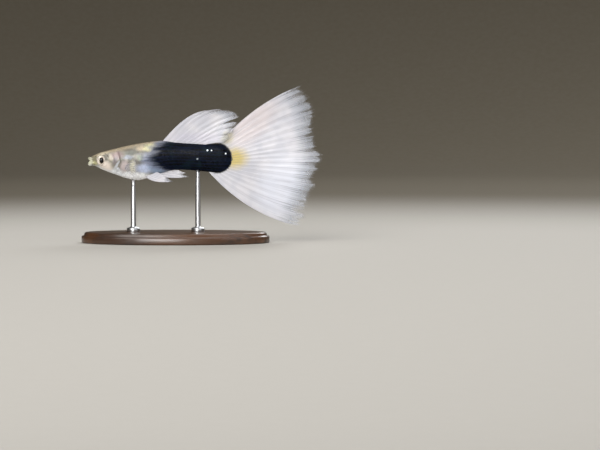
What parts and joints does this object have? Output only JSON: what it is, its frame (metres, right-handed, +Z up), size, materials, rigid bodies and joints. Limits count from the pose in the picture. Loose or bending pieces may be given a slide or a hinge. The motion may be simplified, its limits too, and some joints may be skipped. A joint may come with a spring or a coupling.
{
  "type": "fancy guppy model on a display stand",
  "caption": "Life-size still model of a male guppy with a half-black body and a white fan-shaped tail, held level by two short rods on a flat oval base.",
  "frame": {"origin": "centre of the underside of the oval base", "axes": "+Z up, the fish faces -X and its left flank faces -Y"},
  "size_m": [0.0538, 0.021, 0.0346],
  "materials": {
    "skin": "moist pearly skin with fine scales, black over the rear half",
    "black_skin": "blue-black scaled skin",
    "white_fin": "thin milky rayed membrane, golden at the tail's root",
    "clear_fin": "thin clear rayed membrane",
    "eye": "wet eye, silver iris and black pupil",
    "base_wood": "dark polished wood",
    "rod_steel": "satin steel"
  },
  "bodies": {
    "root": {"head": "skin", "trunk": "skin", "tail_stem": "black_skin", "tail_fin": "white_fin", "dorsal_fin": "white_fin", "anal_fin": "white_fin", "pelvic_fin_left": "white_fin", "pelvic_fin_right": "white_fin", "pectoral_fin_left": "clear_fin", "pectoral_fin_right": "clear_fin", "eye_left": "eye", "eye_right": "eye", "stand_rod_front": "rod_steel", "stand_rod_rear": "rod_steel", "stand_base": "base_wood"}
  },
  "joints": []
}
